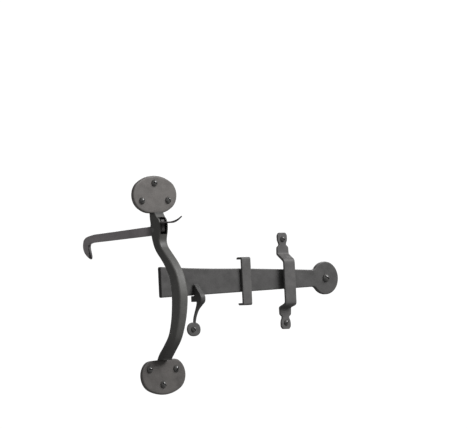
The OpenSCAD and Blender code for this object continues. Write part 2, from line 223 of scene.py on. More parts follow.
def dents(x: np.ndarray, z: np.ndarray, seed: int, pitch: float, depth: float) -> np.ndarray:
    """Hammer dents: the sum of round hollows at scattered places, each depth * exp(-(distance / radius) ** 2).

    Args:
        x, z: places over the face, of any one shape.
        seed: which scatter of blows.
        pitch: distance between blows.
        depth: depth of one blow.

    Returns:
        Depth below the face at each place, 0 or more.
    """
    rng = np.random.default_rng(seed)
    gx, gz = np.meshgrid(np.arange(x.min(), x.max() + pitch, pitch), np.arange(z.min(), z.max() + pitch, pitch))
    centres = np.stack([gx.ravel(), gz.ravel()], -1) + rng.uniform(-0.45, 0.45, (gx.size, 2)) * pitch
    radius = rng.uniform(0.4, 0.75, gx.size) * pitch
    blow = rng.uniform(0.3, 1, gx.size) * depth
    far2 = (x.reshape(-1, 1) - centres[:, 0]) ** 2 + (z.reshape(-1, 1) - centres[:, 1]) ** 2
    return (np.exp(-far2 / radius**2) @ blow).reshape(x.shape)


def waver(t: np.ndarray, seed: int, size: float, waves: int = 4) -> np.ndarray:
    """Slow unevenness of hand work: a few sine waves of random phase, for t going from 0 to 1."""
    rng = np.random.default_rng(seed)
    count = np.arange(1, waves + 1)
    phase = rng.uniform(0, 2 * np.pi, waves)
    height = rng.uniform(0.4, 1, waves) / count
    return size * (np.sin(2 * np.pi * t[..., None] * count + phase) @ height) / height.sum()


def corner_section(arc: int, wide: int, deep: int) -> tuple[np.ndarray, np.ndarray, np.ndarray]:
    """Plan of a rounded rectangle that a strap or slab then scales.

    Args:
        arc: points on each rounded corner.
        wide: points on each side across the width.
        deep: points on each side across the depth.

    Returns:
        seat: (n, 2) places of the corner centres, -1 to 1 of the straight part.
        out: (n, 2) direction from there to the skin.
        worn: (n,) 1 in the middle of a corner and 0 on a flat.
    """
    seat, out, worn = [], [], []
    signs = [(1, 1), (-1, 1), (-1, -1), (1, -1)]
    for q, (sx, sy) in enumerate(signs):
        turn = np.radians(90 * q + np.linspace(0, 90, arc))
        seat.append(np.tile([sx, sy], (arc, 1)))
        out.append(circle(turn))
        worn.append(np.sin(np.linspace(0, np.pi, arc)))
        count = wide if q % 2 == 0 else deep
        share = np.linspace(0, 1, count + 2)[1:-1]
        nx, ny = signs[(q + 1) % 4]
        seat.append(np.stack([sx + (nx - sx) * share, sy + (ny - sy) * share], -1))
        flat = np.radians(90 * (q + 1))
        out.append(np.tile([math.cos(flat), math.sin(flat)], (count, 1)))
        worn.append(np.zeros(count))
    return np.concatenate(seat).astype(float), np.concatenate(out), np.concatenate(worn)


def strap(
    near: np.ndarray,
    far: np.ndarray,
    half_width: np.ndarray,
    corner: float,
    nose: float = 0.0,
    wide: int = 4,
    deep: int = 3,
) -> Surface:
    """A bent strip: a rounded rectangle carried along two lines, its depth from one line to the other.

    Args:
        near, far: (n, 3) the two lines, one on each face of the strip.
        half_width: (n,) half of the width across the strip.
        corner: radius of the long edges.
        nose: radius of the end edges.
        wide, deep: points across the width and the depth.
    """
    seat, out, worn = corner_section(CORNER_POINTS, wide, deep)
    middle = (near + far) / 2
    depth = (far - near) / 2
    half_deep = np.linalg.norm(depth, axis=1)
    along = np.gradient(middle, axis=0)
    along /= np.linalg.norm(along, axis=1)[:, None]
    if nose > 0:
        turn = np.radians(np.array([0, 30, 60, 80]))
        back, shrink = nose * (1 - np.sin(turn)), nose * (1 - np.cos(turn))
        run = np.cumsum(np.concatenate([[0], np.linalg.norm(np.diff(middle, axis=0), axis=1)]))
        at = np.concatenate([back[::-1], np.linspace(nose, run[-1] - nose, len(run) * 2)[1:-1], run[-1] - back])
        shrunk = np.concatenate([shrink[::-1], np.zeros(len(run) * 2 - 2), shrink])

        def cut(values: np.ndarray) -> np.ndarray:
            """Values along the strip, read at the new stations."""
            return np.stack([np.interp(at, run, values[:, k]) for k in range(values.shape[1])], -1)

        middle, depth, along = cut(middle), cut(depth), cut(along)
        half_width = np.interp(at, run, half_width) - shrunk
        half_deep = np.linalg.norm(depth, axis=1) - shrunk
    unit_deep = depth / np.linalg.norm(depth, axis=1)[:, None]
    radius = np.minimum(corner, 0.98 * np.minimum(half_width, half_deep))
    across = seat[:, 0] * (half_width - radius)[:, None] + out[:, 0] * radius[:, None]
    into = seat[:, 1] * (half_deep - radius)[:, None] + out[:, 1] * radius[:, None]
    rings = middle[:, None] + across[..., None] * ACROSS + into[..., None] * unit_deep[:, None]
    return rings_surface(rings, np.tile(worn, (len(middle), 1)))


def outline_normal(outline: np.ndarray) -> np.ndarray:
    """Outward unit normals of a closed line that runs anticlockwise in X-Z."""
    step = np.roll(outline, -1, axis=0) - np.roll(outline, 1, axis=0)
    step /= np.linalg.norm(step, axis=1)[:, None] + 1e-12
    return np.stack([step[:, 1], -step[:, 0]], -1)


def slab(
    outline: np.ndarray,
    spine: np.ndarray,
    thickness: float,
    front_r: float,
    back_r: float,
    seed: int,
    pitch: float,
    depth: float,
    rings_in: int = 16,
) -> Surface:
    """A flat forging: an outline with thickness, rounded rims and a hammered front.

    Rings of the outline step inwards round each rim by radius * (1 - cos angle) and then shrink onto the spine.

    Args:
        outline: (n, 2) closed line, anticlockwise in X-Z.
        spine: (n, 2) place inside that each outline point shrinks to.
        thickness: distance from back (Y = 0) to front (Y = -thickness).
        front_r, back_r: rim radii.
        seed, pitch, depth: the hammer dents of the front.
        rings_in: rings across each flat face.
    """
    normal = outline_normal(outline)
    share = np.linspace(0, 1, rings_in + 1)
    turn = np.radians(np.linspace(0, 90, RIM_POINTS))
    fall = 1 - np.cos(turn)
    flat_rings = np.ones(rings_in)
    inset = np.concatenate([flat_rings * back_r, back_r * fall[::-1], front_r * fall, flat_rings * front_r])
    inward = np.concatenate([share[:0:-1], np.zeros(2 * RIM_POINTS), share[1:]])
    level = np.concatenate(
        [
            flat_rings * 0,
            -back_r * (1 - np.sin(turn[::-1])),
            -(thickness - front_r) - front_r * np.sin(turn),
            -flat_rings * thickness,
        ]
    )
    struck = np.concatenate([np.zeros(rings_in + RIM_POINTS), np.sin(turn), flat_rings])
    worn = np.concatenate([flat_rings * 0, np.sin(turn) * 0.6, np.sin(2 * turn) ** 2, flat_rings * 0])
    skin = outline - normal * inset[:, None, None]
    flat = skin + (spine - skin) * inward[:, None, None]
    hollow = dents(flat[..., 0], flat[..., 1], seed, pitch, depth) if depth > 0 else np.zeros(flat.shape[:2])
    y = level[:, None] + struck[:, None] * hollow
    rings = np.stack([flat[..., 0], y, flat[..., 1]], -1)
    return rings_surface(rings, np.repeat(worn[:, None], len(outline), axis=1), capped=False)


def lathe(profile: np.ndarray, worn: np.ndarray, segments: int) -> Surface:
    """A turned piece: (radius, y) points spun about the Y axis, with a point on the axis at each end.

    Args:
        profile: (n, 2) radius and Y of the skin.
        worn: (n,) wear weights.
        segments: points round the axis.
    """
    angle = np.arange(segments) * 2 * np.pi / segments
    rings = spun(profile[:, :1], profile[:, 1:], angle)
    return rings_surface(rings, np.repeat(worn[:, None], segments, axis=1), capped=False)


# ---------------------------------------------------------------- meshes and objects


def put(name: str, data: bpy.types.ID) -> bpy.types.Object:
    """Puts an object with this mesh, lamp or camera into the scene."""
    made = bpy.data.objects.new(name, data)
    bpy.context.scene.collection.objects.link(made)
    return made


def mesh_object(name: str, surface: Surface, smooth_deg: float = 40.0) -> bpy.types.Object:
    """Puts a surface into a mesh with its place in its points, merges its poles and turns its faces outwards.

    Args:
        name: the object's name.
        surface: the closed surface in millimetres.
        smooth_deg: faces that meet at less than this angle shade as one.
    """
    surface = surface.outward()
    mesh = bpy.data.meshes.new(name)
    faces = surface.faces.tolist() + [c.tolist() for c in surface.caps]
    mesh.from_pydata((surface.points * MM).tolist(), [], faces)
    # painted light and shade of each point, 1 where none is painted
    tone = np.ones(len(surface.points)) if surface.tone is None else surface.tone
    for label, weights in ((EDGE, surface.edge), (TONE, tone)):
        mesh.attributes.new(label, "FLOAT", "POINT").data.foreach_set("value", weights.astype(np.float32))
    shape = bmesh.new()
    shape.from_mesh(mesh)
    bmesh.ops.remove_doubles(shape, verts=shape.verts, dist=2e-6)
    bmesh.ops.dissolve_degenerate(shape, edges=shape.edges, dist=1e-6)
    shape.to_mesh(mesh)
    shape.free()
    piece = put(name, mesh)
    shade(piece, smooth_deg)
    return piece


def shade(piece: bpy.types.Object, smooth_deg: float) -> None:
    """Smooth shading, with sharp edges kept above an angle."""
    piece.data.shade_smooth()
    piece.data.set_sharp_from_angle(angle=math.radians(smooth_deg))


def cut_away(piece: bpy.types.Object, cutter: Surface, smooth_deg: float = 35.0) -> None:
    """Takes a closed shape out of a piece, for good.

    Args:
        piece: the object that is cut.
        cutter: the closed shape that is taken away, in millimetres.
        smooth_deg: shading angle after the cut.
    """
    tool = mesh_object(piece.name + "_cutter", cutter)
    change = piece.modifiers.new("cut", "BOOLEAN")
    change.operation = "DIFFERENCE"
    change.solver = "EXACT"
    change.object = tool
    bpy.context.view_layer.update()
    made = bpy.data.meshes.new_from_object(piece.evaluated_get(bpy.context.evaluated_depsgraph_get()))
    piece.modifiers.clear()
    old = piece.data
    piece.data = made
    bpy.data.meshes.remove(old)
    bpy.data.objects.remove(tool)
    shade(piece, smooth_deg)


def add_to(piece: bpy.types.Object, extra: Surface, smooth_deg: float) -> None:
    """Adds another closed surface to a piece's mesh.

    Args:
        piece: the object that grows.
        extra: the closed shape, in millimetres.
        smooth_deg: shading angle of the whole piece.
    """
    other = mesh_object(piece.name + "_extra", extra)
    both = bmesh.new()
    both.from_mesh(piece.data)
    both.from_mesh(other.data)
    both.to_mesh(piece.data)
    both.free()
    bpy.data.objects.remove(other)
    shade(piece, smooth_deg)


def block(outline: tuple[tuple[float, float], ...], half_width: float) -> Surface:
    """A straight block: a Y-Z outline carried from -half_width to half_width along X."""
    flat = np.array(outline, float)
    rings = np.stack([upright(flat, x) for x in (-half_width, half_width)])
    return rings_surface(rings, np.zeros(rings.shape[:2]))


# ---------------------------------------------------------------- finishes


class Nodes:
    """Small helper that adds nodes to a material and joins them by name."""

    def __init__(self, name: str) -> None:
        """Starts a material with a Principled shader."""
        self.material = bpy.data.materials.new(name)
        self.material.use_nodes = True
        self.tree = self.material.node_tree
        self.shader = self.tree.nodes["Principled BSDF"]

    def add(self, kind: str, *feeds: tuple[str | int, bpy.types.NodeSocket], **values: object) -> bpy.types.Node:
        """Adds a node, sets its values and joins what feeds it.

        Args:
            kind: type name of the node.
            feeds: [input socket, output that it is joined to].
            values: settings of the node or, where it has none of that name, values of its sockets.

        Returns:
            The new node.
        """
        node = self.tree.nodes.new(kind)
        for key, value in values.items():
            if hasattr(node, key):
                setattr(node, key, value)
            else:
                node.inputs[key.replace("_", " ")].default_value = value
        for socket, source in feeds:
            self.tree.links.new(source, node.inputs[socket])
        return node

    def ramp(self, source: bpy.types.NodeSocket, *stops: tuple[float, Colour]) -> bpy.types.NodeSocket:
        """Adds a ramp between two colours, each at its place, and gives its colour."""
        made = self.add("ShaderNodeValToRGB", ("Fac", source))
        for element, (position, colour) in zip(made.color_ramp.elements, stops):
            element.position, element.color = position, (*colour, 1)
        return made.outputs["Color"]

    def dress(self, **sockets: bpy.types.NodeSocket | float | tuple[float, ...]) -> bpy.types.Material:
        """Joins or sets the shader's own sockets and gives the finished material."""
        for key, value in sockets.items():
            target = self.shader.inputs[key.replace("_", " ")]
            if isinstance(value, bpy.types.NodeSocket):
                self.tree.links.new(value, target)
            else:
                target.default_value = value
        return self.material


@dataclass(frozen=True)
class BlackedIron:
    """Hand-forged iron under a satin black coat.

    Args:
        slot: the record's slot.
        light, dark: linear colours that the coat drifts between.
        worn: linear colour of rubbed edges.
        wear: how much of the worn colour shows, 0 to 1.
        rough_low, rough_high: range of the roughness.
        blow_mm: size of the hammer marks.
        blow_deep_mm: depth of the hammer marks.
        grain_deep_mm: depth of the fine grain.
        gloss: specular level.
    """

    slot: Slot
    light: Colour
    dark: Colour
    worn: Colour = (0.2, 0.19, 0.18)
    wear: float = 0.35
    rough_low: float = 0.42
    rough_high: float = 0.62
    blow_mm: float = 6.0
    blow_deep_mm: float = 0.12
    grain_deep_mm: float = 0.02
    gloss: float = 0.5

    def material(self) -> bpy.types.Material:
        """Builds the coat: drifting colour, painted light and shade from the tone attribute, rubbed edges, uneven
        satin, hammer marks and a fine grain.
        """
        n = Nodes(self.slot.value)
        place = ("Vector", n.add("ShaderNodeTexCoord").outputs["Object"])
        drift = n.add("ShaderNodeTexNoise", place, Scale=70.0, Detail=4.0, Roughness=0.6).outputs["Fac"]
        speck = n.add("ShaderNodeTexNoise", place, Scale=900.0, Detail=3.0, Roughness=0.65).outputs["Fac"]
        blow = 1 / (self.blow_mm * MM)
        blows = n.add("ShaderNodeTexVoronoi", place, feature="SMOOTH_F1", Scale=blow, Smoothness=0.8)
        grain = n.add("ShaderNodeTexNoise", place, Scale=1600.0, Detail=4.0, Roughness=0.7)

        coat = n.ramp(drift, (0.32, self.dark), (0.68, self.light))
        reach = {"From_Min": 0.35, "From_Max": 0.7, "To_Min": 0.86, "To_Max": 1.12}
        spots = n.add("ShaderNodeMapRange", ("Value", speck), **reach).outputs["Result"]
        # painted light and shade: the tone attribute lightens or darkens the speckled coat where light or shade
        # falls
        tone = n.add("ShaderNodeAttribute", attribute_name=TONE).outputs["Fac"]
        toned = n.add("ShaderNodeMath", (0, tone), (1, spots), operation="MULTIPLY").outputs[0]
        mixed = {"data_type": "RGBA", "blend_type": "MULTIPLY", "Factor": 1.0}
        speckled_and_painted_shade = n.add("ShaderNodeMix", ("A", coat), ("B", toned), **mixed).outputs["Result"]

        edge = n.add("ShaderNodeAttribute", attribute_name=EDGE).outputs["Fac"]
        rub = n.add("ShaderNodeMath", (0, edge), (1, speck), operation="MULTIPLY").outputs[0]
        rubbed = n.add("ShaderNodeMath", (0, rub), operation="MULTIPLY")
        rubbed.inputs[1].default_value = self.wear
        worn = {"data_type": "RGBA", "B": (*self.worn, 1)}
        colour = n.add("ShaderNodeMix", ("Factor", rubbed.outputs[0]), ("A", speckled_and_painted_shade), **worn).outputs["Result"]

        reach = {"From_Min": 0.3, "From_Max": 0.7, "To_Min": self.rough_low, "To_Max": self.rough_high}
        satin = n.add("ShaderNodeMapRange", ("Value", drift), **reach).outputs["Result"]
        struck = ("Height", blows.outputs["Distance"])
        beaten = n.add("ShaderNodeBump", struck, Strength=1.0, Distance=self.blow_deep_mm * MM * 2)
        under, rough = ("Normal", beaten.outputs["Normal"]), ("Height", grain.outputs["Fac"])
        fine = n.add("ShaderNodeBump", under, rough, Strength=1.0, Distance=self.grain_deep_mm * MM * 2)
        sockets = {"Base_Color": colour, "Roughness": satin, "Normal": fine.outputs["Normal"]}
        return n.dress(**sockets, Specular_IOR_Level=self.gloss)


FINISHES = {
    f.slot: f
    for f in (
        BlackedIron(Slot.PLATE, (0.18, 0.167, 0.158), (0.143, 0.133, 0.127), blow_mm=7.0),
        BlackedIron(Slot.GRIP, (0.16, 0.158, 0.15), (0.125, 0.124, 0.117), blow_mm=9.0, blow_deep_mm=0.08),
        BlackedIron(Slot.LEVER, (0.15, 0.138, 0.142), (0.11, 0.102, 0.105), blow_mm=8.0, blow_deep_mm=0.08),
        BlackedIron(Slot.BAR, (0.102, 0.099, 0.098), (0.08, 0.078, 0.077), blow_mm=8.0),
        BlackedIron(Slot.FITTING, (0.14, 0.136, 0.134), (0.104, 0.101, 0.1), blow_mm=7.0),
        BlackedIron(
            Slot.SCREW,
            (0.15, 0.146, 0.142),
            (0.1, 0.098, 0.095),
            rough_low=0.2,
            rough_high=0.28,
            gloss=1.0,
            blow_deep_mm=0.0,
        ),
    )
}


@dataclass
class Workshop:
    """Hands finished pieces over to the frame.

    Args:
        coats: one material for each slot, made when first used.
    """

    coats: dict[Slot, bpy.types.Material] = field(default_factory=dict)

    def deliver(self, piece: bpy.types.Object, slot: Slot, body: Body, *nodes: str) -> None:
        """Coats a piece, lets it ride on its body and stand for its CAD nodes."""
        if slot not in self.coats:
            self.coats[slot] = FINISHES[slot].material()
        piece.data.materials.clear()
        piece.data.materials.append(self.coats[slot])
        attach(piece, body.value)
        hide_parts(*nodes)
        LOG.info("%s rides on %s: %d faces", piece.name, body.value, len(piece.data.polygons))

    def forge(
        self, node: str, surface: Surface, slot: Slot, body: Body = Body.FIXED, smooth_deg: float = 50.0
    ) -> None:
        """Makes a surface a forged piece and delivers it in place of its CAD node."""
        self.deliver(mesh_object(node + "_forged", surface, smooth_deg), slot, body, node)


def box_mm(node: str) -> tuple[np.ndarray, np.ndarray]:
    """Lowest and highest corner of a CAD node, in millimetres."""
    low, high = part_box(node)
    return np.array(low) / MM, np.array(high) / MM


def seat_mm(node: str) -> np.ndarray:
    """Middle of a CAD node across the door, on the door's face, in millimetres."""
    low, high = box_mm(node)
    return np.array([(low[0] + high[0]) / 2, 0, (low[2] + high[2]) / 2])


# ---------------------------------------------------------------- sub-assemblies


class Cut(Enum):
    """Which edge of a bean plate is cut flat for the grip."""

    BELOW = -1
    ABOVE = 1


@dataclass
class BeanPlate:
    """Oval plate whose edge towards the grip is cut flat.

    Args:
        node: the CAD node.
        cut: which edge is flat.
        cut_at: distance of the flat edge from the centre.
        end_r: radius of the round ends.
        tilt_deg: turn of the hand-cut outline.
        seed: which scatter of hammer blows.
        tone: how light the plate's coat is painted, which carries painted light and shade: the upper plate
            lighter, the lower darker, as light falls from above.
        width, height, thickness: overall sizes.
        rim: radius of the front rim.
        ease: roundness of the corners by the flat edge.
        grow: how far the hammered rim spreads past the drawn outline.
        far_cut: distance at which the flat edge no longer matters.
    """

    node: str
    cut: Cut
    cut_at: float
    end_r: float
    tilt_deg: float
    seed: int
    tone: float
    width: float = 59.0
    height: float = 40.0
    thickness: float = 3.6
    rim: float = 1.7
    ease: float = 0.9
    grow: float = 0.4
    far_cut: float = 80.0

    def outline(self) -> np.ndarray:
        """Polar outline: end circles, long arcs between them, and a softened straight cut."""
        angle = np.linspace(0, 2 * np.pi, 2400, endpoint=False)
        cos, sin = np.abs(np.cos(angle)), np.abs(np.sin(angle))
        c, b = self.width / 2 - self.end_r, self.height / 2
        big = (c * c + b * b - self.end_r**2) / (2 * (b - self.end_r))
        join = big * c / (big - self.end_r)
        long_arc = -(big - b) * sin + np.sqrt(big**2 - (big - b) ** 2 * cos**2)
        end_arc = c * cos + np.sqrt(np.maximum(self.end_r**2 - (c * sin) ** 2, 0))
        far = np.where(long_arc * cos <= join, long_arc, end_arc)
        facing = np.maximum(np.sin(angle) * self.cut.value, 1e-3)
        straight = np.minimum(self.cut_at / facing, self.far_cut)
        far = -self.ease * np.log(np.exp(-far / self.ease) + np.exp(-straight / self.ease))
        far = far + waver(angle / (2 * np.pi), self.seed, 0.2, 7) + self.grow
        line = far[:, None] * circle(angle)
        turn = math.radians(self.tilt_deg)
        spin = np.array([[math.cos(turn), -math.sin(turn)], [math.sin(turn), math.cos(turn)]])
        return evenly(line, 240, closed=True) @ spin.T

    def build(self, shop: Workshop) -> None:
        """Forges the plate on its node's place."""
        low, high = box_mm(self.node)
        middle_z = high[2] - self.height / 2 if self.cut is Cut.BELOW else low[2] + self.height / 2
        line = self.outline()
        plate = slab(line, line * 0.0, self.thickness, self.rim, 0.5, self.seed, 8.0, 0.16, rings_in=18)
        plate = plate.shifted(np.array([(low[0] + high[0]) / 2, 0, middle_z]))
        # painted light and shade, even over the whole plate
        shop.forge(self.node, plate.toned(plate.edge * 0 + self.tone), Slot.PLATE, smooth_deg=40.0)


@dataclass
class HandleGrip:
    """Bow grip drawn out from a slotted neck to a foot on the lower plate.

    Args:
        slot_w: width of the lever's slot.
        slot: [Y, height] of the corners of the slot's outline.
        corner_scale: how much crisper the corners are than in the solid.
        blend_rings: rings over which the ends turn level.
        node: the CAD node.
        tone_at: heights, and how light the coat is painted there: painted shade under the bow round the foot, a
            painted shadow line where the neck meets the upper plate, painted light round the bow's middle and
            darker up the neck.
        stations: [reach, height, width, depth, corner] down the handle.
    """

    slot_w: float = 8.0
    slot: tuple[tuple[float, float], ...] = (
        (3, -23.4),
        (-18, -23.4),
        (-18, -41.2),
        (-13, -41.2),
        (0, -42.3),
        (3, -42.3),
    )
    corner_scale: float = 0.62
    blend_rings: int = 20
    node: str = "handle_grip"
    tone_at: tuple[tuple[float, ...], tuple[float, ...]] = (
        (-173, -160, -145, -110, -80, -60, -45, -21.5, -19.6),
        (0.5, 0.6, 1.0, 1.02, 0.85, 0.72, 0.7, 0.8, 0.3),
    )
    stations: tuple[tuple[float, ...], ...] = (
        (3.9, -18.3, 13.4, 7.8, 2.0),
        (5.8, -24.5, 12.8, 11.8, 2.0),
        (7.7, -30.0, 12.2, 15.4, 2.0),
        (7.6, -37.0, 12.2, 15.2, 2.0),
        (7.7, -48.0, 11.8, 11.4, 3.0),
        (10.9, -56.5, 11.9, 10.0, 3.2),
        (18.6, -65.4, 12.0, 10.0, 3.5),
        (26.0, -74.5, 12.1, 11.2, 3.7),
        (33.0, -87.0, 12.2, 13.0, 3.9),
        (36.0, -103.0, 12.2, 14.2, 3.9),
        (35.3, -118.0, 12.2, 13.8, 3.9),
        (32.0, -134.0, 12.2, 12.4, 3.9),
        (25.8, -149.5, 12.1, 10.6, 3.6),
        (15.8, -161.6, 12.2, 9.6, 3.2),
        (8.9, -169.0, 12.4, 10.0, 3.0),
        (7.0, -173.0, 12.8, 11.4, 2.6),
    )

    def surface(self) -> Surface:
        """Rounded rectangles stood square to the bow's line, with the drift of hand work along the faces."""
        line = spline(np.array(self.stations), 12)
        reach, height, width, depth, corner = line.T
        run = np.stack([-np.gradient(reach), np.gradient(height)], -1)
        run /= np.linalg.norm(run, axis=1)[:, None]
        from_end = np.minimum(np.arange(len(run)), np.arange(len(run))[::-1])
        along = np.clip(from_end / self.blend_rings, 0, 1)[:, None]
        run = along * run + (1 - along) * [0.0, -1.0]
        run /= np.linalg.norm(run, axis=1)[:, None]
        seat, out, worn = corner_section(6, 5, 5)
        radius = (corner * self.corner_scale)[:, None]
        t = np.linspace(0, 1, len(line))
        half_w = (width / 2 + waver(t, 5, 0.12, 9))[:, None]
        half_d = (depth / 2 + waver(t, 6, 0.14, 9))[:, None]
        across = seat[:, 0] * (half_w - radius) + out[:, 0] * radius
        into = seat[:, 1] * (half_d - radius) + out[:, 1] * radius
        y, z = -reach[:, None] + into * run[:, 1:], height[:, None] - into * run[:, :1]
        rings = np.stack([across, y, z], -1)
        return rings_surface(rings, np.tile(worn, (len(line), 1)))

    def build(self, shop: Workshop) -> None:
        """Draws out the grip and cuts the lever's slot through its neck."""
        grip = self.surface()
        # painted shade at the foot and at the neck's top, painted light round the bow, set by height
        grip = grip.toned(np.interp(grip.points[:, 2], *self.tone_at))
        piece = mesh_object(self.node + "_forged", grip, 50.0)
        cut_away(piece, block(self.slot, self.slot_w / 2), 40.0)
        shop.deliver(piece, Slot.GRIP, Body.FIXED, self.node)


@dataclass
class ThumbLever:
    """Lever through the neck: web and tail with its hooked end, and the leaf-shaped press.

    Args:
        thickness: thickness of the lever bar.
        web: [distance behind the door face, top, bottom] along the web and the tail.
        hook: [outer Y, outer Z, inner Y, inner Z] round the hooked end.
        leaf: [share of the half width, reach] down the press.
        press_half: half of the press's greatest width.
        press_z: height of the press's top face.
        press_t, tip_t: thickness of the press and of its tip.
        curl_from, curl_r: where the press starts to curl up, and how tightly.
        draw_from, tip_share: share of the length where the lever starts to thin, and what is left at its tip.
        hook_inside, hook_below: distance behind the door and height that bound the inside of the hook, where
            shade is painted.
        hook_shade: how light the painted shade inside the hook is.
        tone_at: distances behind the door, and how light the coat is painted there: painted shade on the web
            inside the neck's slot, and about three times lighter on the tail behind the door.
    """

    thickness: float = 4.8
    web: tuple[tuple[float, float, float], ...] = (
        (-14.2, -27.2, -37.6),
        (-12.9, -25.9, -38.9),
        (-7.0, -26.2, -40.2),
        (-2.0, -28.8, -41.25),
        (3.0, -32.3, -42.1),
        (20.0, -33.3, -42.7),
        (49.0, -34.5, -43.5),
        (66.0, -35.2, -44.0),
        (84.0, -35.9, -44.5),
        (97.0, -36.4, -44.8),
    )
    hook: tuple[tuple[float, float, float, float], ...] = (
        (104.0, -37.3, 103.0, -45.2),
        (109.6, -38.4, 105.2, -45.7),
        (113.4, -39.9, 106.4, -46.2),
        (116.1, -42.7, 107.1, -47.2),
        (117.4, -47.5, 107.4, -48.8),
        (117.2, -51.3, 107.0, -51.4),
        (115.4, -55.4, 106.0, -54.8),
        (112.2, -58.7, 105.1, -57.6),
        (109.0, -61.0, 104.8, -60.0),
        (106.6, -62.3, 105.3, -61.9),
    )
    leaf: tuple[tuple[float, float], ...] = (
        (0.27, 13.8),
        (0.27, 15.5),
        (0.6, 16.1),
        (0.8, 16.8),
        (0.95, 18.3),
        (1.0, 20.4),
        (0.9, 23.2),
        (0.6, 26.6),
        (0.38, 30.0),
        (0.25, 34.5),
        (0.16, 40.0),
        (0.1, 45.1),
    )
    press_half: float = 8.5
    press_z: float = -28.8
    press_t: float = 1.3
    tip_t: float = 0.8
    curl_from: float = 27.3
    curl_r: float = 33.0
    draw_from: float = 0.5
    tip_share: float = 0.42
    hook_inside: float = 107.9
    hook_below: float = -47.0
    hook_shade: float = 0.45
    tone_at: tuple[tuple[float, ...], tuple[float, ...]] = ((-14, 0, 12, 60, 118), (0.45, 0.6, 3.0, 3.0, 3.2))

    def lever(self) -> Surface:
        """The web, tail and hook as one strip between its upper and its lower line."""
        web, hook = np.array(self.web), np.array(self.hook)
        above = np.concatenate([web[:, [0, 1]], hook[:, :2]])
        below = np.concatenate([web[:, [0, 2]], hook[:, 2:]])
        lines = spline(np.concatenate([above, below], axis=1), 8)
        t = np.linspace(0, 1, len(lines))
        drift = waver(t, 11, 0.12, 8)[:, None]
        near, far = upright(lines[:, :2] + [0, 1] * drift), upright(lines[:, 2:])
        drawn = np.clip((np.arange(len(lines)) / len(lines) - self.draw_from) / (1 - self.draw_from), 0, 1)
        half = self.thickness / 2 * (1 - (1 - self.tip_share) * drawn)
        made = strap(near, far, half, 0.8, nose=0.6, wide=2, deep=5)
        # painted shade inside the hook's curve and on the web in the neck's slot; the tail behind the door is
        # painted lighter
        light = np.interp(made.points[:, 1], *self.tone_at)
        behind, height = made.points[:, 1], made.points[:, 2]
        inside = (behind < self.hook_inside) & (behind > self.web[-1][0]) & (height < self.hook_below)
        return made.toned(np.where(inside, self.hook_shade, light))

    def press(self) -> Surface:
        """The leaf: flat, then rolled up on a circle, with its width read from the leaf's plan."""
        plan = spline(np.array(self.leaf), 7)
        share, reach = plan[:, 0], plan[:, 1]
        turn = np.arcsin(np.clip((reach - self.curl_from) / self.curl_r, 0, 1))
        thick = np.interp(reach, [self.curl_from, self.leaf[-1][1]], [self.press_t, self.tip_t])
        flat = np.minimum(reach, self.curl_from)
        centre_z = self.press_z + self.curl_r
        zero = np.zeros(len(plan))

        def face(radius: np.ndarray) -> np.ndarray:
            """One face of the leaf, at a distance from the centre of the curl."""
            return np.stack([zero, -flat - radius * np.sin(turn), centre_z - radius * np.cos(turn)], -1)

        half = np.clip(share, 0, 1) * self.press_half
        top, bottom = face(zero + self.curl_r), face(self.curl_r + thick)
        return strap(top, bottom, half, 0.45, nose=0.3, wide=7, deep=1)

    def build(self, shop: Workshop) -> None:
        """Forges the lever and its press; both swing on the thumb lever's body."""
        shop.forge("lever_bar", self.lever(), Slot.LEVER, Body.LEVER)
        shop.forge("thumb_press", self.press(), Slot.LEVER, Body.LEVER)


